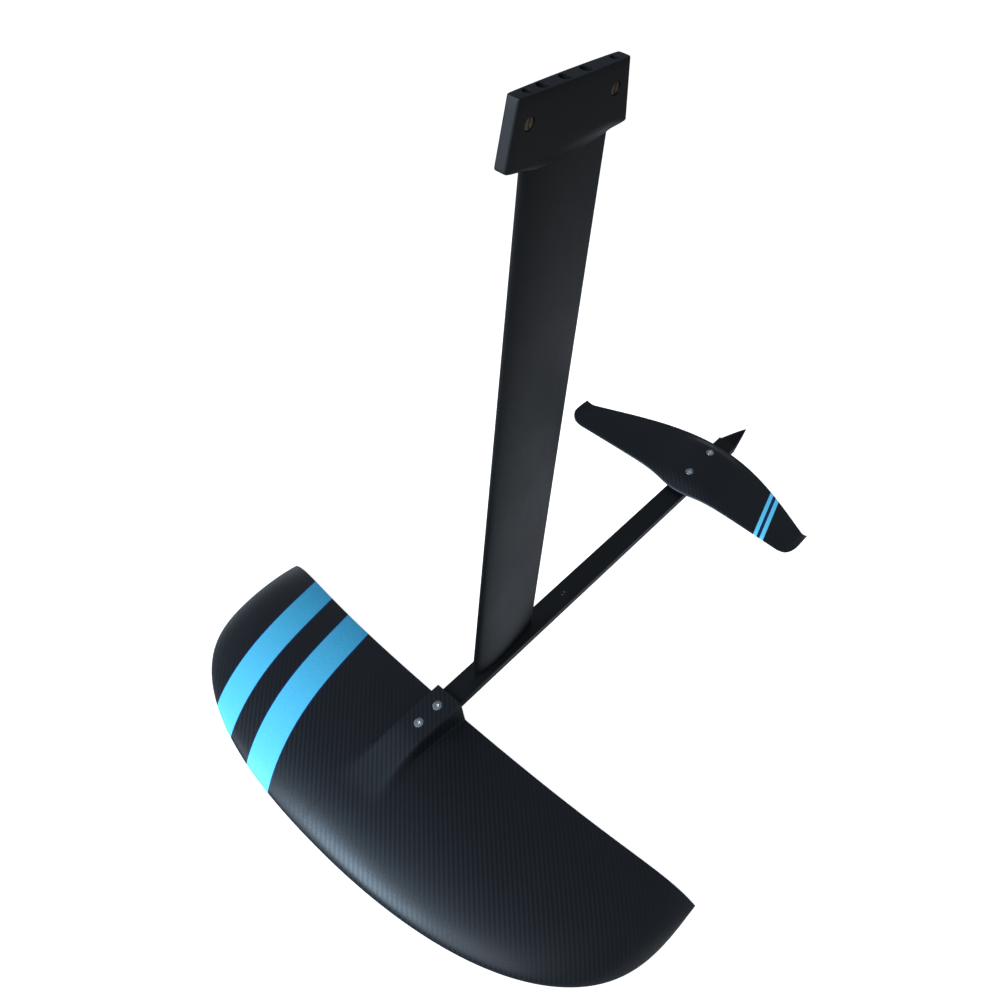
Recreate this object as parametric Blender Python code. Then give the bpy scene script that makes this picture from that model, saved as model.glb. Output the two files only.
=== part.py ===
"""Hydrofoil set: mast head, mast, fuselage, front wing, stabiliser and their fittings.

The design is in millimetres and is scaled to metres when the meshes are made.
+X is port, -Y is forward (the direction of travel) and +Z is up, along the mast.
The drawing height is zero on the fuselage's top face, below the middle of the mast.
The model's origin is on the flat top face of the mast head, which seats in the board.
"""
import math

import bmesh
import bpy
from mathutils import Matrix, Vector

# ---------------------------------------------------------------- driving dimensions (mm)
MM = 0.001
GAP = 0.3                      # clearance kept between pieces that touch

MAST_CHORD = 118.0
MAST_THICKNESS = 0.13          # of the chord
MAST_HEIGHT = 745.7            # fuselage top to head joint, at mid chord
CHANNEL_Y = (-40.0, -12.0, 16.0)
CHANNEL_RADIUS = 3.3
CELL_SPANS = ((-33.0, -19.0), (-5.0, 9.0), (24.0, 38.0))
CELL_WALL = 2.4

HEAD_TILT = math.radians(4.5)  # the head leans back from the mast's axis
HEAD_HEIGHT = 68.5
HEAD_FRONT = ((0.0, -59.5), (6.2, -86.0), (HEAD_HEIGHT, -81.2))
HEAD_REAR = ((0.0, 59.5), (8.5, 78.6), (HEAD_HEIGHT, 65.0))
HEAD_NOSE_HALF = 6.5
HEAD_SIDE_HALF = 6.9
HEAD_CROWN = 1.2
HEAD_BLEND = 15.0
NUT_POINTS = ((-64.0, 44.0), (50.0, 44.0))
NUT_RADIUS = 6.2
NUT_BORE_RADIUS = 6.5
NUT_HALF_LENGTH = 6.4
NUT_THREAD_RADIUS = 3.7
BOLT_HOLE_RADIUS = 4.5
POCKET_RADIUS = 5.5
POCKET_FLOOR = 14.0
SPIGOT_DEPTH = 12.0

FUSELAGE_WIDTH = 31.0
FUSELAGE_DEPTH = 15.5
FUSELAGE_FRONT = -190.0
FUSELAGE_REAR = 558.5
FUSELAGE_CORNER = 1.6          # upper edges
FUSELAGE_LOWER_CORNER = 4.0

WING_HALF_SPAN = 370.0
WING_THICKNESS = 0.12          # of the chord at the root, a sixth less at the tip
WING_CAMBER = 0.045
WING_SCREW_Y = (-161.0, -127.4)
POD_TOP = 10.3
POD_REAR = -104.5
POD_FULL_HALF = 19.5
POD_FOOT_HALF = 27.0
POD_FRONT = -275.0             # start of the ramp up to the pod's flat top
POD_FLAT_FRONT = -172.0
POD_FRONT_FOOT_HALF = 45.0

STAB_HALF_SPAN = 202.6
STAB_SCREW_Y = (440.4, 499.0)
STAB_BOSS_TOP = 17.6
STAB_BOSS_HALF = 10.0
STAB_BOSS_FOOT = 70.0

SCREW_RADIUS = 3.0
SCREW_HOLE_RADIUS = 3.3
COUNTERSUNK_RADIUS = 6.0
COUNTERSUNK_RIM = 0.4
HEX_HALF_WIDTH = 2.0
INSERT_RADIUS = 4.0
INSERT_LENGTH = 10.5

PLUG_Y = 130.0
PLUG_RADIUS = 3.0
TAIL_TIP_Y = 621.0
TAIL_SQUARENESS = 0.45         # 1 gives an elliptical top, smaller gives squarer corners
TAIL_SPIGOT_RADIUS = 4.0
TAIL_SCREW_Y = 551.0
TAIL_SCREW_RADIUS = 2.0

ROUND_SIDES = 24
MAST_STEPS = 16                # chordwise steps on each side of a section
HEAD_STEPS = 14
WING_STEPS = 15
STAB_STEPS = 13
TAIL_STEPS = 7


# ---------------------------------------------------------------- scene and materials
for old in list(bpy.data.objects):
    bpy.data.objects.remove(old, do_unlink=True)


def material(name, colour, roughness, metallic):
    made = bpy.data.materials.new(name)
    made.use_nodes = True
    shader = made.node_tree.nodes["Principled BSDF"]
    shader.inputs["Base Color"].default_value = (*colour, 1.0)
    shader.inputs["Roughness"].default_value = roughness
    shader.inputs["Metallic"].default_value = metallic
    return made


ANODISED = material("anodised_black", (0.018, 0.018, 0.020), 0.42, 0.6)
CARBON = material("carbon_laminate", (0.012, 0.014, 0.018), 0.32, 0.0)
STAINLESS = material("stainless_steel", (0.62, 0.62, 0.60), 0.25, 1.0)
BRASS = material("brass", (0.66, 0.48, 0.22), 0.35, 1.0)
PLASTIC = material("black_plastic", (0.015, 0.015, 0.016), 0.5, 0.0)


# The foil hangs from the top face of its head, so everything is set down by that height.
foil = bpy.data.objects.new("foil_frame", None)
foil.location = (0.0, 0.0, -(MAST_HEIGHT + HEAD_HEIGHT / math.cos(HEAD_TILT)) * MM)
bpy.context.collection.objects.link(foil)

UPSIDE_DOWN = Matrix.Rotation(math.pi, 4, "X")

# Head drawing: y runs aft along the joint face and z up its normal, on the mast's top.
HEAD_FRAME = Matrix.Translation((0.0, 0.0, MAST_HEIGHT)) @ Matrix.Rotation(-HEAD_TILT, 4, "X")

# Tail joint: z runs aft along the fuselage's middle from its rear end.
TAIL_JOINT = (Matrix.Translation((0.0, FUSELAGE_REAR, -FUSELAGE_DEPTH / 2))
              @ Matrix.Rotation(-math.pi / 2, 4, "X"))


# ---------------------------------------------------------------- mesh helpers
def smoothstep(value, low, high):
    t = min(max((value - low) / (high - low), 0.0), 1.0)
    return t * t * (3.0 - 2.0 * t)


def interpolate(points, value):
    """Straight-line value of a rising list of (position, value) points."""
    for (a, va), (b, vb) in zip(points, points[1:]):
        if value <= b:
            return va + (vb - va) * (value - a) / (b - a)
    return points[-1][1]


def lathe(profile, matrix=Matrix(), sides=ROUND_SIDES):
    """Turn (radius, height) points, top to bottom on the outer side, about local Z."""
    bm = bmesh.new()
    rings = []
    for radius, height in profile:
        if radius == 0.0:
            rings.append([bm.verts.new((0.0, 0.0, height))])
            continue
        angles = [2.0 * math.pi * i / sides for i in range(sides)]
        rings.append([bm.verts.new((radius * math.cos(a), radius * math.sin(a), height)) for a in angles])
    for upper, lower in zip(rings, rings[1:]):
        for i in range(sides):
            j = (i + 1) % sides
            if len(upper) == 1:
                bm.faces.new((upper[0], lower[i], lower[j]))
            elif len(lower) == 1:
                bm.faces.new((upper[i], lower[0], upper[j]))
            else:
                bm.faces.new((upper[i], lower[i], lower[j], upper[j]))
    bm.transform(matrix)
    return bm


def rod(radius, low, high, matrix=Matrix(), sides=ROUND_SIDES):
    return lathe(((0.0, high), (radius, high), (radius, low), (0.0, low)), matrix, sides)


def prism(outline, low, high, matrix=Matrix()):
    """Extrude a closed (x, y) outline from low to high along Z."""
    return loft([[Vector((x, y, z)) for x, y in outline] for z in (low, high)], matrix)


def loft(rings, matrix=Matrix()):
    """Skin a list of rings of equal length and close both ends."""
    bm = bmesh.new()
    made = [[bm.verts.new(point) for point in ring] for ring in rings]
    count = len(made[0])
    for lower, upper in zip(made, made[1:]):
        for i in range(count):
            j = (i + 1) % count
            bm.faces.new((lower[i], lower[j], upper[j], upper[i]))
    bm.faces.new(made[0])
    bm.faces.new(made[-1])
    bm.transform(matrix)
    bmesh.ops.recalc_face_normals(bm, faces=bm.faces)
    return bm


def to_object(name, bm, look):
    """Turn a drawing in millimetres into an object in metres under the foil frame."""
    bm.transform(Matrix.Scale(MM, 4))
    mesh = bpy.data.meshes.new(name)
    bm.to_mesh(mesh)
    bm.free()
    mesh.shade_smooth()
    mesh.set_sharp_from_angle(angle=math.radians(35.0))
    if look:
        mesh.materials.append(look)
    made = bpy.data.objects.new(name, mesh)
    made.parent = foil
    bpy.context.collection.objects.link(made)
    return made


def carve(target, cutters, operation="DIFFERENCE"):
    """Cut the cutters' bodies from the target, or join them to it, and keep the result."""
    for bm in cutters:
        tool = to_object("cutter", bm, None)
        tool.hide_render = True
        tool.display_type = "WIRE"
        modifier = target.modifiers.new("cut", "BOOLEAN")
        modifier.operation = operation
        modifier.solver = "EXACT"
        modifier.object = tool
        depsgraph = bpy.context.evaluated_depsgraph_get()
        result = bpy.data.meshes.new_from_object(target.evaluated_get(depsgraph))
        target.modifiers.clear()
        target.data = result
        bpy.data.objects.remove(tool, do_unlink=True)
    target.data.name = target.name
    return target


# ---------------------------------------------------------------- foil sections
def half_thickness(u, ratio):
    """Four-digit section: half thickness at fraction u of the chord, as a chord fraction."""
    root = 0.2969 * math.sqrt(u) - 0.1260 * u - 0.3516 * u**2 + 0.2843 * u**3 - 0.1036 * u**4
    return 5.0 * ratio * root


def camber(u, rise):
    return 4.0 * rise * u * (1.0 - u)


def chord_fractions(count):
    return [0.5 - 0.5 * math.cos(math.pi * i / count) for i in range(count + 1)]


def section_ring(x, nose, tail, ratio, rise, edge, count, upper=None, lower=None):
    """Closed section in the plane at x, from the tail's top edge over the nose to its lower edge.

    nose and tail are (y, z) ends of the chord line, and edge is the trailing edge's half
    thickness. upper and lower may change a surface point's (y, z) before it is placed.
    """
    chord = tail[0] - nose[0]
    ring = []
    fractions = chord_fractions(count)
    for side, order in ((1.0, fractions[::-1]), (-1.0, fractions[1:])):
        for u in order:
            y = nose[0] + u * chord
            line = nose[1] + u * (tail[1] - nose[1]) + camber(u, rise) * chord
            z = line + side * (half_thickness(u, ratio) * chord + edge * u)
            change = upper if side > 0.0 else lower
            if change:
                y, z = change(u, y, z)
            ring.append(Vector((x, y, z)))
    return ring


def span_stations(inner, half_span, count):
    """Positions from the last inner station out to the tip, closing up towards the tip."""
    steps = [math.sin(0.5 * math.pi * i / count) for i in range(1, count + 1)]
    outer = list(inner) + [inner[-1] + (half_span - inner[-1]) * step for step in steps]
    return [-x for x in reversed(outer) if x > 0.0] + outer


# ---------------------------------------------------------------- mast
def mast_half(y):
    u = min(max(y / MAST_CHORD + 0.5, 0.0), 1.0)
    return half_thickness(u, MAST_THICKNESS) * MAST_CHORD


def cell_outline(span, inset):
    """Outline of a hollow in the mast, inset mm inside the mast's skin."""
    stations = [span[0] + (span[1] - span[0]) * i / 6.0 for i in range(7)]
    port = [(mast_half(y) - inset, y) for y in stations]
    return port + [(-x, y) for x, y in reversed(port)]


def build_mast():
    nose, tail = (-MAST_CHORD / 2, 0.0), (MAST_CHORD / 2, 0.0)
    outline = section_ring(0.0, nose, tail, MAST_THICKNESS, 0.0, 0.5, MAST_STEPS)
    foot = [Vector((p.z, p.y, GAP)) for p in outline]
    top = [Vector((p.z, p.y, MAST_HEIGHT - GAP - p.y * math.tan(HEAD_TILT))) for p in outline]
    mast = to_object("mast", loft([foot, top]), ANODISED)
    low, high = -10.0, MAST_HEIGHT + 20.0
    cells = [prism(cell_outline(span, CELL_WALL), low, high) for span in CELL_SPANS]
    channels = [rod(CHANNEL_RADIUS, low, high, Matrix.Translation((0.0, y, 0.0)), 24) for y in CHANNEL_Y]
    return carve(mast, cells + channels)


# ---------------------------------------------------------------- mast head
def head_ring(height):
    """Plan section of the head: the mast's foil at the joint, a long slab above it."""
    front = interpolate(HEAD_FRONT, height)
    rear = interpolate(HEAD_REAR, height)
    mix = smoothstep(height, 0.0, HEAD_BLEND)
    port = []
    for u in chord_fractions(HEAD_STEPS):
        foil_half = mast_half((u - 0.5) * MAST_CHORD) + 0.6
        nose_round = min(u, 1.0 - u) / 0.02
        slab_half = HEAD_NOSE_HALF + (HEAD_SIDE_HALF - HEAD_NOSE_HALF) * min(nose_round, 1.0)
        slab_half += HEAD_CROWN * math.sin(math.pi * u)
        port.append((foil_half + (slab_half - foil_half) * mix, front + (rear - front) * u))
    outline = port + [(-x, y) for x, y in reversed(port)]
    return [Vector((x, y, height)) for x, y in outline]


def build_head():
    heights = (GAP, 3.0, 6.2, 8.5, 11.0, 15.0, 30.0, 50.0, HEAD_HEIGHT)
    head = to_object("mast_head", loft([head_ring(h) for h in heights], HEAD_FRAME), ANODISED)
    spigots = []
    for span in CELL_SPANS[:2]:
        outline = cell_outline((span[0] + GAP, span[1] - GAP), CELL_WALL + GAP)
        spigots.append(prism(outline, MAST_HEIGHT - SPIGOT_DEPTH, MAST_HEIGHT + 4.0))
    carve(head, spigots, "UNION")

    cutters = []
    for y, z in NUT_POINTS:
        across = HEAD_FRAME @ Matrix.Translation((0.0, y, z)) @ Matrix.Rotation(math.pi / 2, 4, "Y")
        cutters.append(rod(NUT_BORE_RADIUS, -12.0, 12.0, across))
        upright = HEAD_FRAME @ Matrix.Translation((0.0, y, 0.0))
        cutters.append(rod(BOLT_HOLE_RADIUS, z - 18.0, HEAD_HEIGHT + 5.0, upright))
    for y in CHANNEL_Y:
        floor = MAST_HEIGHT + POCKET_FLOOR
        pocket = (
            (0.0, floor + 80.0), (POCKET_RADIUS, floor + 80.0), (POCKET_RADIUS, floor),
            (SCREW_HOLE_RADIUS, floor), (SCREW_HOLE_RADIUS, MAST_HEIGHT - 20.0), (0.0, MAST_HEIGHT - 20.0),
        )
        cutters.append(lathe(pocket, Matrix.Translation((0.0, y, 0.0))))
    return carve(head, cutters)


def build_barrel_nut(name, point):
    """Brass cross dowel with a threaded hole across it and a slot in its port end."""
    centre = HEAD_FRAME @ Vector((0.0, *point))
    place = Matrix.Translation(centre) @ Matrix.Rotation(-HEAD_TILT, 4, "X")
    across = place @ Matrix.Rotation(math.pi / 2, 4, "Y")
    chamfer = 0.6
    upper_half = ((0.0, NUT_HALF_LENGTH), (NUT_RADIUS - chamfer, NUT_HALF_LENGTH),
                  (NUT_RADIUS, NUT_HALF_LENGTH - chamfer))
    profile = upper_half + tuple((radius, -height) for radius, height in reversed(upper_half))
    nut = to_object(name, lathe(profile, across), BRASS)
    thread = rod(NUT_THREAD_RADIUS, -10.0, 10.0, place, 32)
    half_slot = 0.8
    slot_outline = [(-9.0, -half_slot), (9.0, -half_slot), (9.0, half_slot), (-9.0, half_slot)]
    slot = prism(slot_outline, NUT_HALF_LENGTH - 1.2, NUT_HALF_LENGTH + 5.0, across)
    carve(nut, [thread, slot])
    # The object's origin goes on the axis that the nut turns about.
    nut.data.transform(Matrix.Translation(-centre * MM))
    nut.location = centre * MM
    return nut


# ---------------------------------------------------------------- screws and inserts
def hexagon_prism(low, high, matrix):
    corner = HEX_HALF_WIDTH / math.cos(math.pi / 6)
    return rod(corner, low, high, matrix, 6)


def countersunk_profile(clearance, length, above):
    """Profile of a countersunk screw, or of its hole when a clearance is added."""
    radius = SCREW_RADIUS + clearance
    rim = COUNTERSUNK_RADIUS + clearance
    cone_end = -COUNTERSUNK_RIM - clearance - (rim - radius)
    return ((0.0, above), (rim, above), (rim, -COUNTERSUNK_RIM - clearance), (radius, cone_end),
            (radius, -length), (0.0, -length))


def build_countersunk_screw(name, matrix, length):
    screw = to_object(name, lathe(countersunk_profile(0.0, length, 0.0), matrix), STAINLESS)
    return carve(screw, [hexagon_prism(-2.6, 3.0, matrix)])


def build_cap_screw(name, matrix, length):
    head_radius, head_height = 5.0, 6.0
    profile = ((0.0, head_height), (head_radius - 0.5, head_height), (head_radius, head_height - 0.5),
               (head_radius, 0.0), (SCREW_RADIUS, 0.0), (SCREW_RADIUS, -length), (0.0, -length))
    screw = to_object(name, lathe(profile, matrix), STAINLESS)
    return carve(screw, [hexagon_prism(3.0, 9.0, matrix)])


def build_insert(name, y):
    """Threaded stainless sleeve set in the fuselage's top."""
    top, bottom = -GAP, -GAP - INSERT_LENGTH
    place = Matrix.Translation((0.0, y, 0.0))
    insert = to_object(name, rod(INSERT_RADIUS, bottom, top, place), STAINLESS)
    return carve(insert, [rod(SCREW_HOLE_RADIUS, bottom - 5.0, top + 5.0, place)])


# ---------------------------------------------------------------- fuselage
def rounded_bar_ring(y):
    """Rounded-rectangle section of the fuselage bar in the plane at y."""
    ring = []
    for quarter, (sx, sz) in enumerate(((1, 1), (-1, 1), (-1, -1), (1, -1))):
        corner = FUSELAGE_CORNER if sz > 0 else FUSELAGE_LOWER_CORNER
        for step in range(5):
            angle = math.radians(90.0 * quarter + 22.5 * step)
            x = sx * (FUSELAGE_WIDTH / 2 - corner) + corner * math.cos(angle)
            z = sz * (FUSELAGE_DEPTH / 2 - corner) + corner * math.sin(angle) - FUSELAGE_DEPTH / 2
            ring.append(Vector((x, y, z)))
    return ring


def build_fuselage():
    ends = [rounded_bar_ring(y) for y in (FUSELAGE_FRONT, FUSELAGE_REAR)]
    bar = to_object("fuselage", loft(ends), ANODISED)
    cutters = []
    for y in CHANNEL_Y:
        below = Matrix.Translation((0.0, y, -FUSELAGE_DEPTH)) @ UPSIDE_DOWN
        cutters.append(lathe(countersunk_profile(GAP, FUSELAGE_DEPTH + 5.0, 5.0), below))
    for y in (*WING_SCREW_Y, *STAB_SCREW_Y):
        place = Matrix.Translation((0.0, y, 0.0))
        cutters.append(rod(INSERT_RADIUS + GAP, -INSERT_LENGTH - 2.0 * GAP - 1.4, 5.0, place))
    cutters.append(rod(PLUG_RADIUS + GAP, -6.0 - GAP, 5.0, Matrix.Translation((0.0, PLUG_Y, 0.0))))
    cutters.append(rod(TAIL_SPIGOT_RADIUS + GAP, -14.0, 5.0, TAIL_JOINT))
    below = Matrix.Translation((0.0, TAIL_SCREW_Y, -FUSELAGE_DEPTH))
    cutters.append(rod(TAIL_SCREW_RADIUS + GAP, -5.0, FUSELAGE_DEPTH / 2, below, 24))
    return carve(bar, cutters)


def build_plug():
    """Set screw in the fuselage's top, a little below the surface."""
    place = Matrix.Translation((0.0, PLUG_Y, -0.2))
    plug = to_object("fuselage_plug_screw", rod(PLUG_RADIUS, -5.8, 0.0, place), STAINLESS)
    return carve(plug, [rod(1.7, -2.5, 2.0, place, 6)])


def tail_ring(t):
    """Section of the tail cap at fraction t of its length, flat below with rounded corners."""
    start = FUSELAGE_REAR + GAP
    y = start + (TAIL_TIP_Y - start) * t
    size = math.sqrt(max(1.0 - t**1.7, 0.0)) * 0.1 + 0.9 * (1.0 - t)
    half_width = (FUSELAGE_WIDTH / 2 - 0.4) * size
    height = (FUSELAGE_DEPTH - 0.6) * (0.92 * size + 0.08 * (1.0 - t**4))
    base = -FUSELAGE_DEPTH + 0.3
    corner = FUSELAGE_LOWER_CORNER * size
    port = []
    for angle in (math.radians(a) for a in (-90.0, -60.0, -30.0)):
        port.append((half_width - corner * (1.0 - math.cos(angle)), base + corner * (1.0 + math.sin(angle))))
    for angle in (math.radians(90.0 * step / TAIL_STEPS) for step in range(TAIL_STEPS)):
        rise = (height - corner) * math.sin(angle) ** TAIL_SQUARENESS
        port.append((half_width * math.cos(angle) ** TAIL_SQUARENESS, base + corner + rise))
    outline = port + [(0.0, base + height)] + [(-x, z) for x, z in reversed(port)]
    return [Vector((x, y, z)) for x, z in outline]


def build_tail_cap():
    rings = [tail_ring(t) for t in (0.0, 0.25, 0.5, 0.75, 0.9, 0.97, 0.995)]
    cap = to_object("fuselage_tail_cap", loft(rings), PLASTIC)
    return carve(cap, [rod(TAIL_SPIGOT_RADIUS, -13.0, 4.0, TAIL_JOINT)], "UNION")


def build_tail_screw():
    place = Matrix.Translation((0.0, TAIL_SCREW_Y, -FUSELAGE_DEPTH))
    screw = to_object("tail_cap_grub_screw", rod(TAIL_SCREW_RADIUS, 0.3, 3.4, place, 24), STAINLESS)
    return carve(screw, [rod(1.15, -1.0, 1.9, place, 6)])


# ---------------------------------------------------------------- front wing
def wing_nose(s):
    """(y, z) of the leading edge at fraction s of the half span."""
    y = -58.1 - 286.2 * max(1.0 - s**2.15, 0.0) ** (1.0 / 3.02)
    return y, wing_height(s) - 4.2 * (1.0 - s**2)


def wing_tail(s):
    return -100.3 + 38.1 * s**2 + 8.9 * s**4, wing_height(s)


def wing_height(s):
    """Droop of the wing: a gentle arch with a short, steep curl at the tip."""
    return -26.9 - 53.3 * s**2 - 25.5 * s**12.3


def wing_ring(x):
    s = abs(x) / WING_HALF_SPAN
    pod = 1.0 - smoothstep(abs(x), POD_FULL_HALF, POD_FOOT_HALF)
    tail_y, tail_z = wing_tail(s)

    def upper(u, y, z):
        y += pod * u * (POD_REAR - tail_y)
        rise = smoothstep(y, POD_FRONT, POD_FLAT_FRONT)
        foot = POD_FRONT_FOOT_HALF + (POD_FOOT_HALF - POD_FRONT_FOOT_HALF) * rise
        share = 1.0 - smoothstep(abs(x), POD_FULL_HALF, foot)
        return y, z + max(POD_TOP - z, 0.0) * share * rise

    ratio = WING_THICKNESS - 0.02 * s
    return section_ring(x, wing_nose(s), (tail_y, tail_z), ratio, WING_CAMBER, 0.5, WING_STEPS, upper)


def build_front_wing():
    inner = (0.0, 10.0, POD_FULL_HALF, 21.5, 23.3, 25.0, POD_FOOT_HALF, 32.0, 38.0, POD_FRONT_FOOT_HALF)
    stations = span_stations(inner, WING_HALF_SPAN, 11)
    wing = to_object("front_wing", loft([wing_ring(x) for x in stations]), CARBON)
    half = FUSELAGE_WIDTH / 2 + GAP
    front, back = FUSELAGE_FRONT - GAP, POD_REAR + 30.0
    socket = prism([(-half, front), (half, front), (half, back), (-half, back)], -FUSELAGE_DEPTH - GAP, GAP)
    cutters = [socket]
    for y in WING_SCREW_Y:
        place = Matrix.Translation((0.0, y, POD_TOP - 0.5))
        cutters.append(lathe(countersunk_profile(GAP, 15.0, 5.0), place))
    return carve(wing, cutters)


# ---------------------------------------------------------------- stabiliser
def stab_ring(x):
    s = abs(x) / STAB_HALF_SPAN
    flick = max((s - 0.94) / 0.06, 0.0)
    height = 6.4 + 21.7 * s**2 + 7.1 * flick**2
    corner = max((s - 0.875) / 0.125, 0.0)
    bulge = 11.2 * math.exp(-0.5 * (x / 27.0) ** 2)
    nose_y = 412.1 - 23.3 * s**2 - bulge + 20.2 * (1.0 - math.sqrt(max(1.0 - corner**2, 0.0)))
    tail_y = 530.3 - 112.6 * s**2 + 20.6 * s**4
    boss = 1.0 - smoothstep(abs(x), STAB_BOSS_HALF, STAB_BOSS_FOOT)

    def ends(u):
        return smoothstep(u, 0.0, 0.22) * (1.0 - smoothstep(u, 0.80, 1.0))

    def upper(u, y, z):
        return y, z + (STAB_BOSS_TOP - z) * boss * ends(u)

    def lower(u, y, z):
        return y, max(z + (GAP - z) * boss * ends(u), GAP)

    nose, tail = (nose_y, height), (tail_y, height)
    return section_ring(x, nose, tail, 0.085, 0.0, 0.5, STAB_STEPS, upper, lower)


def build_stabiliser():
    inner = (0.0, STAB_BOSS_HALF, 24.0, 38.0, 53.0, STAB_BOSS_FOOT)
    stations = span_stations(inner, STAB_HALF_SPAN, 10)
    stab = to_object("stabiliser", loft([stab_ring(x) for x in stations]), CARBON)
    cutters = []
    for y in STAB_SCREW_Y:
        place = Matrix.Translation((0.0, y, STAB_BOSS_TOP - 0.5))
        cutters.append(lathe(countersunk_profile(GAP, 25.0, 5.0), place))
    return carve(stab, cutters)


# ---------------------------------------------------------------- the assembly
build_mast()
build_head()
for nut_name, nut_point in zip(("barrel_nut_front", "barrel_nut_rear"), NUT_POINTS):
    build_barrel_nut(nut_name, nut_point)

for place_name, channel_y in zip(("front", "middle", "rear"), CHANNEL_Y):
    seat = Matrix.Translation((0.0, channel_y, MAST_HEIGHT + POCKET_FLOOR + GAP))
    build_cap_screw("head_screw_" + place_name, seat, 42.0)
    underside = Matrix.Translation((0.0, channel_y, -FUSELAGE_DEPTH + 0.2))
    build_countersunk_screw("mast_screw_" + place_name, underside @ UPSIDE_DOWN, 50.0)

build_fuselage()
build_plug()
build_tail_cap()
build_tail_screw()

build_front_wing()
build_stabiliser()
fittings = (
    ("front_wing", WING_SCREW_Y, POD_TOP, 20.0),
    ("stabiliser", STAB_SCREW_Y, STAB_BOSS_TOP, 27.0),
)
for owner, screw_places, surface, screw_length in fittings:
    for place_name, screw_y in zip(("front", "rear"), screw_places):
        recessed = Matrix.Translation((0.0, screw_y, surface - 0.5))
        build_countersunk_screw(owner + "_screw_" + place_name, recessed, screw_length)
        build_insert(owner + "_insert_" + place_name, screw_y)
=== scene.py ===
"""Looks of the hydrofoil set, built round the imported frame.

Drawings are in millimetres, with height zero on the fuselage's top face, below the
middle of the mast. +X is port, -Y is forward and +Z is up, along the mast.
"""
import math

import bmesh
import bpy
from mathutils import Matrix, Vector


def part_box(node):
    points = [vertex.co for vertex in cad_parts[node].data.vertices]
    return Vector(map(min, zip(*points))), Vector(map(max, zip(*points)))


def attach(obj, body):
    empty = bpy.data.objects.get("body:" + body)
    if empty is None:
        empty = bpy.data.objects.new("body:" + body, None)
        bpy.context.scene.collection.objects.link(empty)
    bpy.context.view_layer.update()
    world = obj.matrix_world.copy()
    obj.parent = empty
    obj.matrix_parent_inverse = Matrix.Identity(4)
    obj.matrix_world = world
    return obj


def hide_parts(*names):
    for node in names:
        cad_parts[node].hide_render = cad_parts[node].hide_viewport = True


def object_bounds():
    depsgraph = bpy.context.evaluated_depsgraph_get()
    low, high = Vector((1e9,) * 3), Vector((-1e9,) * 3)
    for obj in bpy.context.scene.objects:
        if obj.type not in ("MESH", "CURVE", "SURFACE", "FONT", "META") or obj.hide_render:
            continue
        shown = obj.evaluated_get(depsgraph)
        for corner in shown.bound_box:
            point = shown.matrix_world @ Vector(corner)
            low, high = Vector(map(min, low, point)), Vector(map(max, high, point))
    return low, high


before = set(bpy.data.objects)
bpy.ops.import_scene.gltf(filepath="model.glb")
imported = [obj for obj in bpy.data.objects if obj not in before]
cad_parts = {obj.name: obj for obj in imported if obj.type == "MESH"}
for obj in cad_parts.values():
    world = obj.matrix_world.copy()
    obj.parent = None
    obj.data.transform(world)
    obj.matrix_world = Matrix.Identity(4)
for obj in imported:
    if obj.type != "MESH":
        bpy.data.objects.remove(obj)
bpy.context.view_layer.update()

# ---------------------------------------------------------------- sizes (mm)
MM = 0.001
GAP = 0.3                      # clearance that touching pieces keep
OVERCUT = 5.0                  # how far a cutter reaches past the surface it opens
EDGE_HALF = 0.5                # half thickness of a trailing edge

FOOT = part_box("fuselage")[1].z  # the fuselage's top face in the frame, in metres
TO_FRAME = Matrix.Translation((0.0, 0.0, FOOT)) @ Matrix.Scale(MM, 4)


def place_of(node):
    """Lowest and highest corner of a CAD node, in the drawing's millimetres."""
    back = TO_FRAME.inverted()
    return [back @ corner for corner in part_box(node)]


def middle_of(node):
    low, high = place_of(node)
    return (low + high) / 2.0


MAST_CHORD = 118.0
MAST_THICKNESS = 0.13          # of the chord
MAST_HEIGHT = 745.7            # fuselage top to head joint, at mid chord
JOINT_GAP = 0.05               # mast and head are pulled together by their screws
CHANNEL_Y = (-40.0, -12.0, 16.0)
CHANNEL_RADIUS = 3.3
CELL_SPANS = ((-33.0, -19.0), (-5.0, 9.0), (24.0, 38.0))
CELL_WALL = 2.4

HEAD_TILT = math.radians(4.5)
HEAD_HEIGHT = 68.5
HEAD_FRONT = ((0.0, -59.5), (6.2, -86.0), (HEAD_HEIGHT, -81.2))
HEAD_REAR = ((0.0, 59.5), (8.5, 78.6), (HEAD_HEIGHT, 65.0))
HEAD_NOSE_HALF = 6.5
HEAD_SIDE_HALF = 6.9
HEAD_CROWN = 1.2
HEAD_BLEND = 15.0
HEAD_CORNER = 2.2
NUT_POINTS = ((-64.0, 44.0), (50.0, 44.0))
NUT_RADIUS = 6.2
NUT_BORE_RADIUS = 6.5
NUT_HALF_LENGTH = 6.4
NUT_THREAD_RADIUS = 3.7
BOLT_HOLE_RADIUS = 4.5
BOLT_END_DEPTH = 18.0          # of the bolt hole, below the middle of the nut
POCKET_RADIUS = 5.5
POCKET_FLOOR = 14.0
SPIGOT_DEPTH = 12.0
HEAD_FOOT_EXTRA = 0.6          # the head's foot stands this far outside the mast's skin
HEAD_END_SHARE = 0.06          # share of the head's length over which its ends swell
HEAD_EDGE = 0.9                # rounding of the edge round the top face
NUT_CHAMFER = 0.7
NUT_SLOT_DEPTH = 1.2
NUT_SLOT_HALF = 0.8
NUT_PITCH = 1.25
NUT_THREAD_DEPTH = 0.55
HEAD_BOLT_LENGTH = 42.0
MAST_BOLT_LENGTH = 50.0
MAST_BOLT_RECESS = 0.2

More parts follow.
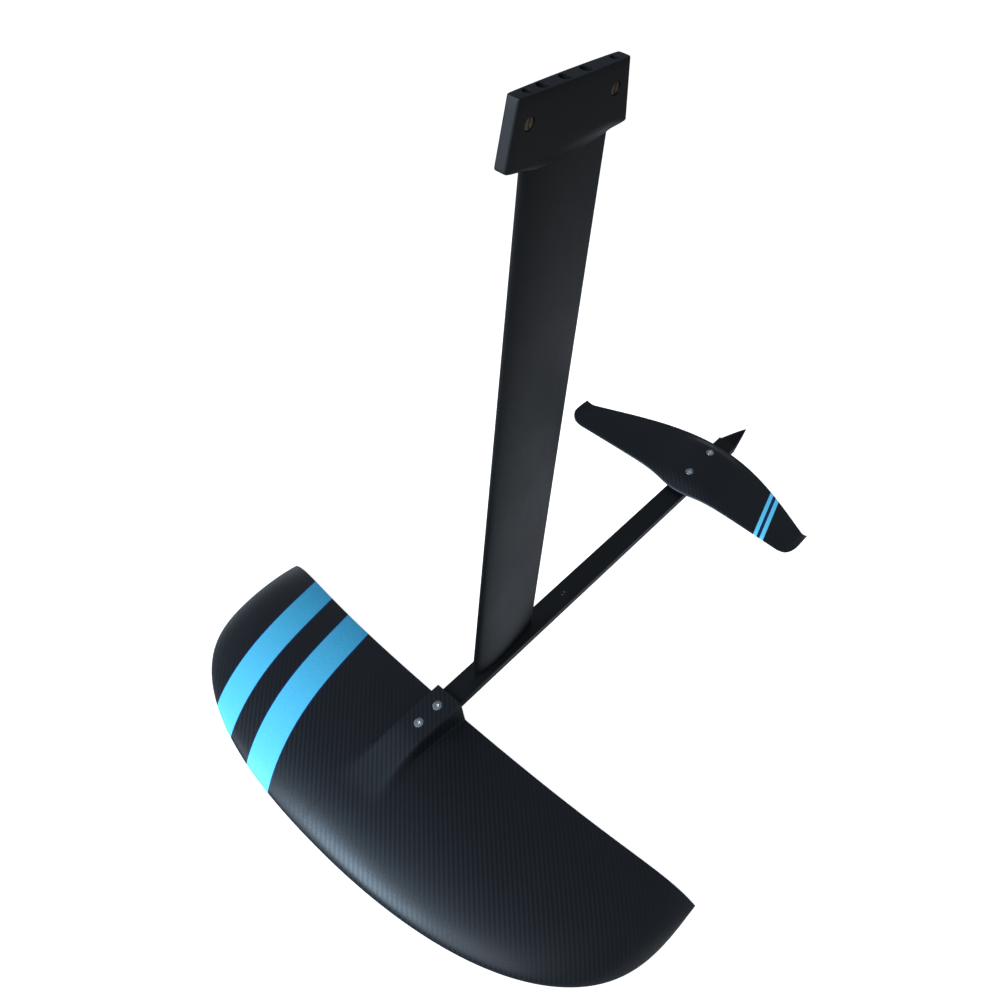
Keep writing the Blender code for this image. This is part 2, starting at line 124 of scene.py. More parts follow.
FUSELAGE_LOW, FUSELAGE_HIGH = place_of("fuselage")
FUSELAGE_WIDTH = FUSELAGE_HIGH.x - FUSELAGE_LOW.x
FUSELAGE_DEPTH = FUSELAGE_HIGH.z - FUSELAGE_LOW.z
FUSELAGE_FRONT = FUSELAGE_LOW.y
FUSELAGE_REAR = FUSELAGE_HIGH.y
FUSELAGE_CORNER = 1.6          # upper edges
FUSELAGE_LOWER_CORNER = 4.0
FUSELAGE_END_EDGE = 1.4        # rounding of the edges at both ends

WING_HALF_SPAN = place_of("front_wing")[1].x
WING_LOWEST = place_of("front_wing")[0].z
WING_THICKNESS = 0.12          # of the chord at the root
WING_TAPER = 0.02              # how much thinner the section is at the tip
WING_CAMBER = 0.045
WING_ROOT_Z = -26.9
WING_DROOP = 53.3
WING_TIP_CURL = 25.5
WING_CURL_POWER = 12.3         # high, so the curl stays close to the tip
WING_NOSE_TIP_Y = -58.1
WING_NOSE_SWEEP = 286.2
WING_NOSE_FULLNESS = (2.15, 3.02)
WING_ROOT_PITCH = 4.2          # how far the nose hangs below the tail at the root
WING_TAIL_ROOT_Y = -100.3
WING_TAIL_SWEEP = (38.1, 8.9)
WING_BOLT_LENGTH = 20.0
WING_SCREW_Y = [middle_of("front_wing_screw_" + end).y for end in ("front", "rear")]
POD_TOP = 10.3
POD_REAR = -104.5
POD_FULL_HALF = 19.5
POD_FOOT_HALF = 27.0
POD_FRONT = -275.0             # start of the ramp up to the pod's flat top
POD_FLAT_FRONT = -172.0
POD_FRONT_FOOT_HALF = 45.0

STAB_HALF_SPAN = place_of("stabiliser")[1].x
STAB_SCREW_Y = [middle_of("stabiliser_screw_" + end).y for end in ("front", "rear")]
STAB_BOSS_TOP = 17.6
STAB_BOSS_HALF = 10.0
STAB_BOSS_FOOT = 70.0
STAB_THICKNESS = 0.085         # of the chord
STAB_ROOT_Z = 6.4
STAB_RISE = 21.7
STAB_FLICK = 7.1               # extra rise of the last of the tip
STAB_FLICK_START = 0.94        # of the half span
STAB_FLICK_SHARE = 0.06
STAB_CORNER_START = 0.875      # of the half span
STAB_CORNER_SHARE = 0.125
STAB_CORNER_DEPTH = 20.2
STAB_NOSE_Y = 412.1
STAB_NOSE_SWEEP = 23.3
STAB_NOSE_BULGE = 11.2
STAB_BULGE_WIDTH = 27.0
STAB_TAIL_Y = 530.3
STAB_TAIL_SWEEP = (112.6, 20.6)
STAB_BOLT_LENGTH = 27.0
WING_BOLT_RECESS = 0.5         # of the screws in the wing's pod and the stabiliser

SCREW_RADIUS = 3.0
SCREW_HOLE_RADIUS = 3.3
COUNTERSUNK_RADIUS = 6.0
COUNTERSUNK_RIM = 0.4
HEX_HALF_WIDTH = 2.0
THREAD_PITCH = 1.0
INSERT_RADIUS = 4.0
INSERT_LENGTH = 10.5
INSERT_RIDGE = 0.3
THREAD_DEPTH = 0.35

PLUG_Y = middle_of("fuselage_plug_screw").y
PLUG_RADIUS = 3.0
PLUG_RECESS = 0.2
PLUG_HOLE_DEPTH = 6.0
PLUG_RIM = 0.4
TAIL_TIP_Y = 621.0
TAIL_SQUARENESS = 0.45         # 1 gives an elliptical top, smaller gives squarer corners
TAIL_SPIGOT_RADIUS = 4.0
TAIL_SPIGOT_LENGTH = 13.0
TAIL_SCREW_Y = middle_of("tail_cap_grub_screw").y
TAIL_SCREW_RADIUS = 2.0
TAIL_SCREW_LENGTH = 3.1

ROUND_SIDES = 64
SMALL_SIDES = 48               # for small holes and sleeves
TINY_SIDES = 32
SHARP_ANGLE = math.radians(30.0)
MAST_STEPS = 40                # chordwise steps on each side of a section
HEAD_STEPS = 40
WING_STEPS = 44
STAB_STEPS = 36
TAIL_STEPS = 16
LONG_STEPS = 24                # along the mast and the fuselage
WING_STATIONS = 46             # along each half of the wing, outside its pod
STAB_STATIONS = 34

HEAD_FRAME = Matrix.Translation((0.0, 0.0, MAST_HEIGHT)) @ Matrix.Rotation(-HEAD_TILT, 4, "X")
UPSIDE_DOWN = Matrix.Rotation(math.pi, 4, "X")
TAIL_JOINT = (Matrix.Translation((0.0, FUSELAGE_REAR, -FUSELAGE_DEPTH / 2))
              @ Matrix.Rotation(-math.pi / 2, 4, "X"))


# ---------------------------------------------------------------- material helpers
class Look:
    """A Principled material and short ways to build the nodes that feed it."""

    def __init__(self, name, **sockets):
        self.material = bpy.data.materials.new(name)
        self.material.use_nodes = True
        self.tree = self.material.node_tree
        self.shader = self.tree.nodes["Principled BSDF"]
        for socket, value in sockets.items():
            self.shader.inputs[socket.replace("_", " ")].default_value = value

    def node(self, kind, inputs=(), **settings):
        made = self.tree.nodes.new(kind)
        for key, value in settings.items():
            setattr(made, key, value)
        for key, value in dict(inputs).items():
            if isinstance(value, bpy.types.NodeSocket):
                self.tree.links.new(value, made.inputs[key])
            else:
                made.inputs[key].default_value = value
        return made

    def math(self, operation, *values):
        made = self.node("ShaderNodeMath", dict(enumerate(values)), operation=operation)
        return made.outputs[0]

    def ramp(self, value, low, high, start=0.0, end=1.0):
        """Map value from low..high to start..end, held at both ends."""
        sockets = {"Value": value, "From Min": low, "From Max": high, "To Min": start, "To Max": end}
        return self.node("ShaderNodeMapRange", sockets).outputs[0]

    def spread(self, noise, start=0.0, end=1.0):
        """Map the usual range of a noise to start..end."""
        return self.ramp(noise, 0.3, 0.7, start, end)

    def blend(self, factor, first, second):
        """Colour mix; the colours are RGB triples or sockets."""
        made = self.tree.nodes.new("ShaderNodeMix")
        made.data_type = "RGBA"
        for index, value in ((0, factor), (6, first), (7, second)):
            if isinstance(value, bpy.types.NodeSocket):
                self.tree.links.new(value, made.inputs[index])
            elif index:
                made.inputs[index].default_value = (*value, 1.0)
            else:
                made.inputs[index].default_value = value
        return made.outputs[2]

    def position(self):
        return self.node("ShaderNodeTexCoord").outputs["Object"]

    def axes(self):
        split = self.node("ShaderNodeSeparateXYZ", {0: self.position()})
        return split.outputs[0], split.outputs[1], split.outputs[2]

    def noise(self, scale, detail=3.0, stretch=(1.0, 1.0, 1.0)):
        """Noise with that many features per metre along an axis that isn't stretched."""
        mapped = self.node("ShaderNodeMapping", {"Vector": self.position(), "Scale": stretch})
        sockets = {"Vector": mapped.outputs[0], "Scale": scale, "Detail": detail}
        return self.node("ShaderNodeTexNoise", sockets).outputs[0]

    def edge(self, radius_mm, sharpness=0.12):
        """One on sharp edges, zero on flat and gently curved skin."""
        soft = self.node("ShaderNodeBevel", {"Radius": radius_mm * MM}, samples=4)
        true = self.node("ShaderNodeNewGeometry").outputs["Normal"]
        sockets = {0: soft.outputs[0], 1: true}
        match = self.node("ShaderNodeVectorMath", sockets, operation="DOT_PRODUCT").outputs["Value"]
        return self.ramp(match, 1.0 - sharpness, 1.0 - 0.25 * sharpness, 1.0, 0.0)

    def bump(self, height, strength, distance_mm, after=None):
        sockets = {"Height": height, "Strength": strength, "Distance": distance_mm * MM}
        if after:
            sockets["Normal"] = after
        return self.node("ShaderNodeBump", sockets).outputs[0]

    def drive(self, socket, value):
        self.tree.links.new(value, self.shader.inputs[socket])


# ---------------------------------------------------------------- materials
TOW = 0.002                    # width of a tow in the carbon cloth, in metres
# The lighter cloth colour is a painted sheen: tows that catch the light are painted lighter than the others.
CLOTH_DARK = (0.0023, 0.0026, 0.0037)
CLOTH_SHEEN = (0.0058, 0.0068, 0.0092)
FILM_SPECK = (0.9, 0.95, 1.0)
WORN_ALUMINIUM = (0.10, 0.10, 0.105)
MOULDING_DARK = (0.0045, 0.0045, 0.0050)
MOULDING_LIGHT = (0.0065, 0.0065, 0.0070)
RUBBED_MOULDING = (0.035, 0.035, 0.037)


def twill(look):
    """Two-by-two twill cloth lying in the plan view: (which tow is on top, crown height)."""
    x, y, _ = look.axes()
    across = look.math("DIVIDE", x, TOW)
    along = look.math("DIVIDE", y, TOW)
    column = look.math("FLOOR", across)
    row = look.math("FLOOR", along)
    step = look.math("FLOORED_MODULO", look.math("ADD", column, row), 4.0)
    warp_on_top = look.math("LESS_THAN", step, 1.5)
    crowns = []
    for value, cell in ((across, column), (along, row)):
        offset = look.math("SUBTRACT", look.math("SUBTRACT", value, cell), 0.5)
        crowns.append(look.math("SUBTRACT", 1.0, look.math("MULTIPLY", look.math("POWER", offset, 2.0), 4.0)))
    warp = look.math("MULTIPLY", crowns[0], warp_on_top)
    weft = look.math("MULTIPLY", crowns[1], look.math("SUBTRACT", 1.0, warp_on_top))
    return warp_on_top, look.math("ADD", warp, weft)


def band_mask(look, position, bands, feather=0.25):
    """One where position (mm) lies in any of the (low, high) bands."""
    mask = None
    for low, high in bands:
        away = look.math("ABSOLUTE", look.math("SUBTRACT", position, (low + high) / 2.0))
        inside = look.ramp(away, (high - low) / 2.0, (high - low) / 2.0 + feather, 1.0, 0.0)
        mask = inside if mask is None else look.math("MAXIMUM", mask, inside)
    return mask


def carbon(name, rake, bend, lines, films, fade):
    """Satin clear-coated twill carbon with painted bands on the upper skin.

    A band's position, in mm, is x + rake * y + bow * q**2 + twist * q**3, where q is the
    distance aft of the bend's centre in units of 100 mm. lines are the dark blue bands and
    films the lighter ones over them. fade holds the y and colour of the films at the
    leading and trailing edges.
    """
    look = Look(name, Coat_Weight=0.25, Coat_Roughness=0.3, Coat_IOR=1.45, Specular_IOR_Level=0.4)
    fibre_scale, fibre_stretch = 900.0, 0.05
    warp_on_top, crown = twill(look)
    fibres_x = look.noise(fibre_scale, 2.0, (1.0, fibre_stretch, 1.0))
    fibres_y = look.noise(fibre_scale, 2.0, (fibre_stretch, 1.0, 1.0))
    weft_on_top = look.math("SUBTRACT", 1.0, warp_on_top)
    fibres = look.math("ADD", look.math("MULTIPLY", fibres_x, warp_on_top),
                       look.math("MULTIPLY", fibres_y, weft_on_top))
    warp_sheen_share = 0.7           # of the painted sheen between the tows; the fibre streaks make the rest
    # Painted sheen: tows on top in the warp are painted lighter than weft tows, standing in for the light
    # their fibres catch; the twill pattern itself is real.
    tone = look.math("ADD", look.math("MULTIPLY", warp_on_top, warp_sheen_share),
                     look.spread(fibres, 0.0, 0.3))
    cloth = look.blend(tone, CLOTH_DARK, CLOTH_SHEEN)
    cloudy = look.noise(14.0, 2.0)
    rough = look.math("ADD", look.math("MULTIPLY", warp_on_top, 0.10), look.spread(cloudy, 0.38, 0.43))

    x, y, _ = look.axes()
    straight = look.math("MULTIPLY", look.math("ADD", x, look.math("MULTIPLY", y, rake)), 1000.0)
    centre, bow, twist = bend
    q = look.math("MULTIPLY", look.math("SUBTRACT", y, centre * MM), 10.0)
    slope = look.math("ADD", look.math("MULTIPLY", q, twist), bow)
    position = look.math("ADD", straight, look.math("MULTIPLY", look.math("MULTIPLY", q, q), slope))
    normal = look.node("ShaderNodeNewGeometry").outputs["Normal"]
    upward = look.node("ShaderNodeSeparateXYZ", {0: normal}).outputs[2]
    skin = look.math("GREATER_THAN", upward, -0.3)
    line = look.math("MULTIPLY", band_mask(look, position, lines), skin)
    film = look.math("MULTIPLY", band_mask(look, position, films), skin)
    (fore, fore_colour), (aft, aft_colour) = fade
    tint = look.blend(look.ramp(y, fore * MM, aft * MM), fore_colour, aft_colour)
    specks = look.ramp(look.noise(420.0, 2.0), 0.35, 0.65, 0.0, 0.05)
    tint = look.blend(specks, tint, FILM_SPECK)
    colour = look.blend(film, look.blend(line, cloth, NAVY), tint)
    bare = look.math("SUBTRACT", 1.0, film)
    film_roughness = 0.38
    rough = look.math("ADD", look.math("MULTIPLY", rough, bare),
                      look.math("MULTIPLY", film, film_roughness))
    look.drive("Base Color", colour)
    look.drive("Roughness", rough)
    weave = look.bump(look.math("MULTIPLY", crown, bare), 0.10, 0.05)
    look.drive("Normal", look.bump(cloudy, 0.04, 0.6, weave))
    return look.material


def anodised(name, along, tone):
    """Satin black anodised aluminium with faint drawing lines along one axis."""
    look = Look(name, Specular_IOR_Level=0.35)
    stretch = [1.0, 1.0, 1.0]
    stretch["XYZ".index(along)] = 0.01
    lines = look.noise(1500.0, 3.0, stretch)
    grain = look.noise(3500.0, 2.0)
    cloudy = look.noise(9.0, 2.0)
    worn = look.edge(0.5)
    scuffed = look.math("MULTIPLY", worn, look.ramp(look.noise(260.0, 3.0), 0.45, 0.65, 0.15, 0.6))
    base = look.blend(look.spread(lines), [0.8 * tone] * 3, [1.2 * tone] * 3)
    look.drive("Base Color", look.blend(scuffed, base, WORN_ALUMINIUM))
    rough = look.math("ADD", look.spread(lines, 0.40, 0.46), look.spread(cloudy, -0.02, 0.03))
    look.drive("Roughness", rough)
    look.drive("Normal", look.bump(grain, 0.05, 0.03, look.bump(lines, 0.07, 0.03)))
    return look.material


def metal(name, dull, bright, roughness, line_axis):
    """Turned or drawn bare metal: fine lines, cloudy tarnish and lighter edges."""
    look = Look(name, Metallic=1.0)
    stretch = [0.03, 0.03, 0.03]
    stretch["XYZ".index(line_axis)] = 1.0
    lines = look.noise(2500.0, 2.0, stretch)
    tarnish = look.noise(180.0, 4.0)
    base = look.blend(look.ramp(tarnish, 0.35, 0.65), dull, bright)
    polished = [min(1.0, channel * 1.25) for channel in bright]
    base = look.blend(look.math("MULTIPLY", look.edge(0.3), 0.5), base, polished)
    look.drive("Base Color", base)
    worn = look.spread(tarnish, roughness + 0.08, roughness - 0.04)
    look.drive("Roughness", look.math("ADD", worn, look.spread(lines, -0.03, 0.03)))
    look.drive("Normal", look.bump(lines, 0.10, 0.02))
    return look.material


def moulded(name):
    """Fine-textured black moulding."""
    look = Look(name, Specular_IOR_Level=0.12)
    grain = look.noise(2600.0, 3.0)
    cloudy = look.noise(30.0, 2.0)
    rub = look.math("MULTIPLY", look.edge(0.5), 0.35)
    base = look.blend(look.spread(cloudy), MOULDING_DARK, MOULDING_LIGHT)
    look.drive("Base Color", look.blend(rub, base, RUBBED_MOULDING))
    look.drive("Roughness", look.spread(grain, 0.44, 0.54))
    look.drive("Normal", look.bump(grain, 0.12, 0.04))
    return look.material


CYAN = (0.105, 0.58, 0.80)
SKY = (0.019, 0.28, 0.45)
NAVY = (0.002, 0.016, 0.085)
WING_FILMS = ((-318.4, -274.6), (-234.5, -189.1))
WING_LINE_MARGIN = 1.7
WING_LINES = [(low - WING_LINE_MARGIN, high + WING_LINE_MARGIN) for low, high in WING_FILMS]
WING_BAND_RAKE = 0.257
WING_BAND_BEND = (-200.0, -4.53, 3.81)
WING_FADE = ((-330.0, CYAN), (-85.0, SKY))
WING_LOOK = carbon("carbon_front_wing", WING_BAND_RAKE, WING_BAND_BEND, WING_LINES, WING_FILMS, WING_FADE)
STAB_FILMS = ((247.6, 253.1), (258.2, 263.9))
STAB_LINES = ((246.9, 264.6),)
STAB_BAND_RAKE = 0.27
STRAIGHT = (0.0, 0.0, 0.0)
STAB_FADE = ((400.0, (0.15, 0.74, 0.94)), (560.0, (0.12, 0.60, 0.88)))
STAB_LOOK = carbon("carbon_stabiliser", STAB_BAND_RAKE, STRAIGHT, STAB_LINES, STAB_FILMS, STAB_FADE)
MAST_LOOK = anodised("anodised_mast", "Z", 0.004)
HEAD_LOOK = anodised("anodised_head", "Y", 0.006)
FUSELAGE_LOOK = anodised("anodised_fuselage", "Y", 0.004)
STEEL_LOOK = metal("stainless_steel", (0.56, 0.56, 0.57), (0.76, 0.76, 0.75), 0.34, "Z")
DARK_STEEL_LOOK = metal("dulled_steel", (0.045, 0.045, 0.047), (0.085, 0.085, 0.085), 0.50, "Z")
# Brass held far darker than fresh turned brass: painted shade of the nuts sitting in their bores in the head;
# the cloudy blend between the two colours is tarnish.
BRASS_SHADED_LOOK = metal("turned_brass_painted_shade", (0.20, 0.155, 0.10), (0.36, 0.28, 0.18), 0.46, "X")
CAP_LOOK = moulded("moulded_black")


# ---------------------------------------------------------------- mesh helpers
def smoothstep(value, low, high):
    t = min(max((value - low) / (high - low), 0.0), 1.0)
    return t * t * (3.0 - 2.0 * t)


def interpolate(points, value):
    """Straight-line value of a rising list of (position, value) points."""
    for (a, va), (b, vb) in zip(points, points[1:]):
        if value <= b:
            return va + (vb - va) * (value - a) / (b - a)
    return points[-1][1]


def rounded(points, reach, steps=8):
    """The same open line with its middle corner replaced by a curve of that reach."""
    first, corner, last = (Vector(p) for p in points)
    start = corner + (first - corner).normalized() * reach
    end = corner + (last - corner).normalized() * reach
    curve = []
    for i in range(steps + 1):
        t = i / steps
        curve.append(tuple(start.lerp(corner, t).lerp(corner.lerp(end, t), t)))
    return [tuple(first), *curve, tuple(last)]


def lathe(profile, matrix=Matrix(), sides=ROUND_SIDES):
    """Turn (radius, height) points, top to bottom on the outer side, about local Z."""
    bm = bmesh.new()
    rings = []
    for radius, height in profile:
        if radius == 0.0:
            rings.append([bm.verts.new((0.0, 0.0, height))])
            continue
        angles = [2.0 * math.pi * i / sides for i in range(sides)]
        rings.append([bm.verts.new((radius * math.cos(a), radius * math.sin(a), height)) for a in angles])
    for upper, lower in zip(rings, rings[1:]):
        for i in range(sides):
            j = (i + 1) % sides
            if len(upper) == 1:
                bm.faces.new((upper[0], lower[i], lower[j]))
            elif len(lower) == 1:
                bm.faces.new((upper[i], lower[0], upper[j]))
            else:
                bm.faces.new((upper[i], lower[i], lower[j], upper[j]))
    bm.transform(matrix)
    return bm


def rod(radius, low, high, matrix=Matrix(), sides=ROUND_SIDES):
    return lathe(((0.0, high), (radius, high), (radius, low), (0.0, low)), matrix, sides)


def loft(rings, matrix=Matrix()):
    """Skin a list of rings of equal length and close both ends."""
    bm = bmesh.new()
    made = [[bm.verts.new(point) for point in ring] for ring in rings]
    count = len(made[0])
    for lower, upper in zip(made, made[1:]):
        for i in range(count):
            j = (i + 1) % count
            bm.faces.new((lower[i], lower[j], upper[j], upper[i]))
    bm.faces.new(made[0])
    bm.faces.new(made[-1])
    bm.transform(matrix)
    bmesh.ops.recalc_face_normals(bm, faces=bm.faces)
    return bm


def prism(outline, low, high, matrix=Matrix()):
    """Extrude a closed (x, y) outline from low to high along Z."""
    return loft([[Vector((x, y, z)) for x, y in outline] for z in (low, high)], matrix)


def to_object(name, bm, look=None):
    bm.transform(TO_FRAME)
    mesh = bpy.data.meshes.new(name)
    bm.to_mesh(mesh)
    bm.free()
    if look:
        mesh.materials.append(look)
    made = bpy.data.objects.new(name, mesh)
    bpy.context.collection.objects.link(made)
    return made


def carve(target, cutters, operation="DIFFERENCE"):
    """Cut the cutters' bodies from the target, or join them to it."""
    for bm in cutters:
        tool = to_object("cutter", bm)
        modifier = target.modifiers.new("cut", "BOOLEAN")
        modifier.operation = operation
        modifier.solver = "EXACT"
        modifier.object = tool
        depsgraph = bpy.context.evaluated_depsgraph_get()
        result = bpy.data.meshes.new_from_object(target.evaluated_get(depsgraph))
        target.modifiers.clear()
        target.data = result
        bpy.data.objects.remove(tool, do_unlink=True)


def finish_piece(piece, node, body="foil"):
    """Shade the piece smooth between its sharp edges, and let it stand for its CAD node."""
    piece.data.name = piece.name
    piece.data.shade_smooth()
    piece.data.set_sharp_from_angle(angle=SHARP_ANGLE)
    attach(piece, body)
    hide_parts(node)


# ---------------------------------------------------------------- foil sections
def half_thickness(u, ratio):
    """Four-digit section: half thickness at fraction u of the chord, as a chord fraction."""
    root = 0.2969 * math.sqrt(u) - 0.1260 * u - 0.3516 * u**2 + 0.2843 * u**3 - 0.1036 * u**4
    return 5.0 * ratio * root


def camber(u, rise):
    return 4.0 * rise * u * (1.0 - u)


def chord_fractions(count):
    return [0.5 - 0.5 * math.cos(math.pi * i / count) for i in range(count + 1)]


def section_ring(x, nose, tail, ratio, rise, count, upper=None, lower=None):
    """Closed section in the plane at x, from the tail's top edge over the nose to its lower edge.

    nose and tail are (y, z) ends of the chord line, and rise is the camber as a share of
    the chord. upper and lower may change a surface point's (y, z) before it is placed.
    """
    chord = tail[0] - nose[0]
    ring = []
    fractions = chord_fractions(count)
    for side, order in ((1.0, fractions[::-1]), (-1.0, fractions[1:])):
        for u in order:
            y = nose[0] + u * chord
            line = nose[1] + u * (tail[1] - nose[1]) + camber(u, rise) * chord
            z = line + side * (half_thickness(u, ratio) * chord + EDGE_HALF * u)
            change = upper if side > 0.0 else lower
            if change:
                y, z = change(u, y, z)
            ring.append(Vector((x, y, z)))
    return ring


def span_stations(inner, half_span, count):
    """Positions from the last inner station out to the tip, closing up towards the tip."""
    steps = [math.sin(0.5 * math.pi * i / count) for i in range(1, count + 1)]
    outer = list(inner) + [inner[-1] + (half_span - inner[-1]) * step for step in steps]
    return [-x for x in reversed(outer) if x > 0.0] + outer


def even_steps(low, high, count):
    return [low + (high - low) * i / count for i in range(count + 1)]


# ---------------------------------------------------------------- mast
def mast_half(y):
    u = min(max(y / MAST_CHORD + 0.5, 0.0), 1.0)
    return half_thickness(u, MAST_THICKNESS) * MAST_CHORD


def cell_outline(span, inset):
    stations = even_steps(span[0], span[1], 8)
    port = [(mast_half(y) - inset, y) for y in stations]
    return port + [(-x, y) for x, y in reversed(port)]


def make_mast():
    nose, tail = (-MAST_CHORD / 2, 0.0), (MAST_CHORD / 2, 0.0)
    outline = section_ring(0.0, nose, tail, MAST_THICKNESS, 0.0, MAST_STEPS)
    rings = []
    for share in even_steps(0.0, 1.0, LONG_STEPS):
        ring = []
        for p in outline:
            top = MAST_HEIGHT - JOINT_GAP - p.y * math.tan(HEAD_TILT)
            ring.append(Vector((p.z, p.y, GAP + (top - GAP) * share)))
        rings.append(ring)
    mast = to_object("mast_extrusion", loft(rings), MAST_LOOK)
    low, high = -10.0, MAST_HEIGHT + 20.0
    cells = [prism(cell_outline(span, CELL_WALL), low, high) for span in CELL_SPANS]
    channels = []
    for y in CHANNEL_Y:
        place = Matrix.Translation((0.0, y, 0.0))
        channels.append(rod(CHANNEL_RADIUS, low, high, place, TINY_SIDES))
    carve(mast, cells + channels)
    finish_piece(mast, "mast")


# ---------------------------------------------------------------- mast head
FRONT_LINE = rounded(HEAD_FRONT, 2.6)
REAR_LINE = rounded(HEAD_REAR, 1.0)
BLEND_LINE = ((0.0, 6.2), (0.12, 6.2), (0.5, HEAD_BLEND), (0.85, HEAD_BLEND), (1.0, 8.5))


def head_ring(height, inset):
    """Plan section of the head: the mast's foil at the joint, a long slab above it."""
    front = interpolate(FRONT_LINE, height) + inset
    rear = interpolate(REAR_LINE, height) - inset
    length = rear - front
    corner = [HEAD_CORNER * (1.0 - math.cos(math.radians(a))) / length for a in range(0, 91, 15)]
    room = 0.004               # keeps the stations along the side clear of the corner's own
    inside = [u for u in chord_fractions(HEAD_STEPS) if corner[-1] + room < u < 1.0 - corner[-1] - room]
    port = []
    for u in corner + inside + [1.0 - c for c in reversed(corner)]:
        foil_half = mast_half((u - 0.5) * MAST_CHORD) + HEAD_FOOT_EXTRA
        nose_round = min(u, 1.0 - u) / HEAD_END_SHARE
        slab_half = HEAD_NOSE_HALF + (HEAD_SIDE_HALF - HEAD_NOSE_HALF) * min(nose_round, 1.0)
        slab_half += HEAD_CROWN * math.sin(math.pi * u)
        from_end = min(min(u, 1.0 - u) * length, HEAD_CORNER)
        slab_half -= HEAD_CORNER - math.sqrt(max(HEAD_CORNER**2 - (HEAD_CORNER - from_end)**2, 0.0))
        mix = smoothstep(height, 0.0, interpolate(BLEND_LINE, u))
        port.append((max(foil_half + (slab_half - foil_half) * mix - inset, 0.05), front + length * u))
    outline = port + [(-x, y) for x, y in reversed(port)]
    return [Vector((x, y, height)) for x, y in outline]


def make_head():
    blend_heights = [float(step) for step in range(1, 10)]
    heights = [JOINT_GAP, *blend_heights, 10.5, 12.0, 14.0, 16.0, 22.0, 32.0, 45.0, 58.0]
    rings = [head_ring(height, 0.0) for height in heights]
    for angle in range(0, 91, 18):
        turn = math.radians(angle)
        height = HEAD_HEIGHT - HEAD_EDGE + HEAD_EDGE * math.sin(turn)
        rings.append(head_ring(height, HEAD_EDGE * (1.0 - math.cos(turn))))
    head = to_object("mast_head_block", loft(rings, HEAD_FRAME), HEAD_LOOK)
    spigots = []
    for span in CELL_SPANS[:2]:
        outline = cell_outline((span[0] + GAP, span[1] - GAP), CELL_WALL + GAP)
        spigots.append(prism(outline, MAST_HEIGHT - SPIGOT_DEPTH, MAST_HEIGHT + 4.0))
    carve(head, spigots, "UNION")

    cutters = []
    for y, z in NUT_POINTS:
        across = HEAD_FRAME @ Matrix.Translation((0.0, y, z)) @ Matrix.Rotation(math.pi / 2, 4, "Y")
        cutters.append(rod(NUT_BORE_RADIUS, -12.0, 12.0, across))
        upright = HEAD_FRAME @ Matrix.Translation((0.0, y, 0.0))
        cutters.append(rod(BOLT_HOLE_RADIUS, z - BOLT_END_DEPTH, HEAD_HEIGHT + OVERCUT, upright, SMALL_SIDES))
    for y in CHANNEL_Y:
        floor = MAST_HEIGHT + POCKET_FLOOR
        mouth, bottom = floor + 80.0, MAST_HEIGHT - 20.0
        pocket = (
            (0.0, mouth), (POCKET_RADIUS, mouth), (POCKET_RADIUS, floor),
            (SCREW_HOLE_RADIUS, floor), (SCREW_HOLE_RADIUS, bottom), (0.0, bottom),
        )
        cutters.append(lathe(pocket, Matrix.Translation((0.0, y, 0.0)), SMALL_SIDES))
    carve(head, cutters)
    finish_piece(head, "mast_head")


def make_barrel_nut(name, node, body, point):
    """Brass cross dowel with a threaded hole across it and a slot in its port end."""
    centre = HEAD_FRAME @ Vector((0.0, *point))
    place = Matrix.Translation(centre) @ Matrix.Rotation(-HEAD_TILT, 4, "X")
    across = place @ Matrix.Rotation(math.pi / 2, 4, "Y")
    upper_half = ((0.0, NUT_HALF_LENGTH), (NUT_RADIUS - NUT_CHAMFER - 0.1, NUT_HALF_LENGTH),
                  (NUT_RADIUS - NUT_CHAMFER * 0.4, NUT_HALF_LENGTH - NUT_CHAMFER * 0.4),
                  (NUT_RADIUS, NUT_HALF_LENGTH - NUT_CHAMFER))
    profile = upper_half + tuple((radius, -height) for radius, height in reversed(upper_half))
    nut = to_object(name, lathe(profile, across), BRASS_SHADED_LOOK)
    reach = 9.0                # of both cutters, past the nut's skin
    thread = [(0.0, reach)]
    for turn in range(int(2 * reach / NUT_PITCH)):
        height = reach - turn * NUT_PITCH
        crest = NUT_THREAD_RADIUS - NUT_THREAD_DEPTH
        thread += [(NUT_THREAD_RADIUS, height), (crest, height - NUT_PITCH / 2)]
    thread += [(NUT_THREAD_RADIUS, -reach), (0.0, -reach)]
    half = NUT_SLOT_HALF
    slot_outline = [(-reach, -half), (reach, -half), (reach, half), (-reach, half)]
    slot = prism(slot_outline, NUT_HALF_LENGTH - NUT_SLOT_DEPTH, NUT_HALF_LENGTH + OVERCUT, across)
    carve(nut, [lathe(thread, place, SMALL_SIDES), slot])
    finish_piece(nut, node, body)


# ---------------------------------------------------------------- screws and inserts
def threaded_shank(start, end):
    """Profile points down a threaded shank, from height start to height end."""
    radius = SCREW_RADIUS
    points = [(radius, start)]
    height = start - THREAD_PITCH
    while height > end + THREAD_PITCH:
        points += [(radius, height), (radius - THREAD_DEPTH, height - THREAD_PITCH / 2)]
        height -= THREAD_PITCH
    return points + [(radius - 0.1, end + 0.6), (radius - 0.6, end), (0.0, end)]


def hexagon_socket(mouth, floor, matrix, half_width=HEX_HALF_WIDTH):
    """Cutters of a hexagonal recess: its walls, the drilled cone below it and its bevelled lip."""
    corner = half_width / math.cos(math.pi / 6)
    top = mouth + 3.0
    drill = half_width * 0.96
    lip_top, lip_depth = mouth + 1.0, 0.25
    hexagon = rod(corner, floor, top, matrix, 6)
    cone_profile = ((0.0, top), (drill, top), (drill, floor), (0.0, floor - half_width * 0.55))
    cone = lathe(cone_profile, matrix, TINY_SIDES)
    lip_profile = ((0.0, lip_top), (corner + 1.0, lip_top), (corner - lip_depth, mouth - lip_depth),
                   (0.0, mouth - lip_depth))
    lip = lathe(lip_profile, matrix, SMALL_SIDES)
    return [hexagon, cone, lip]


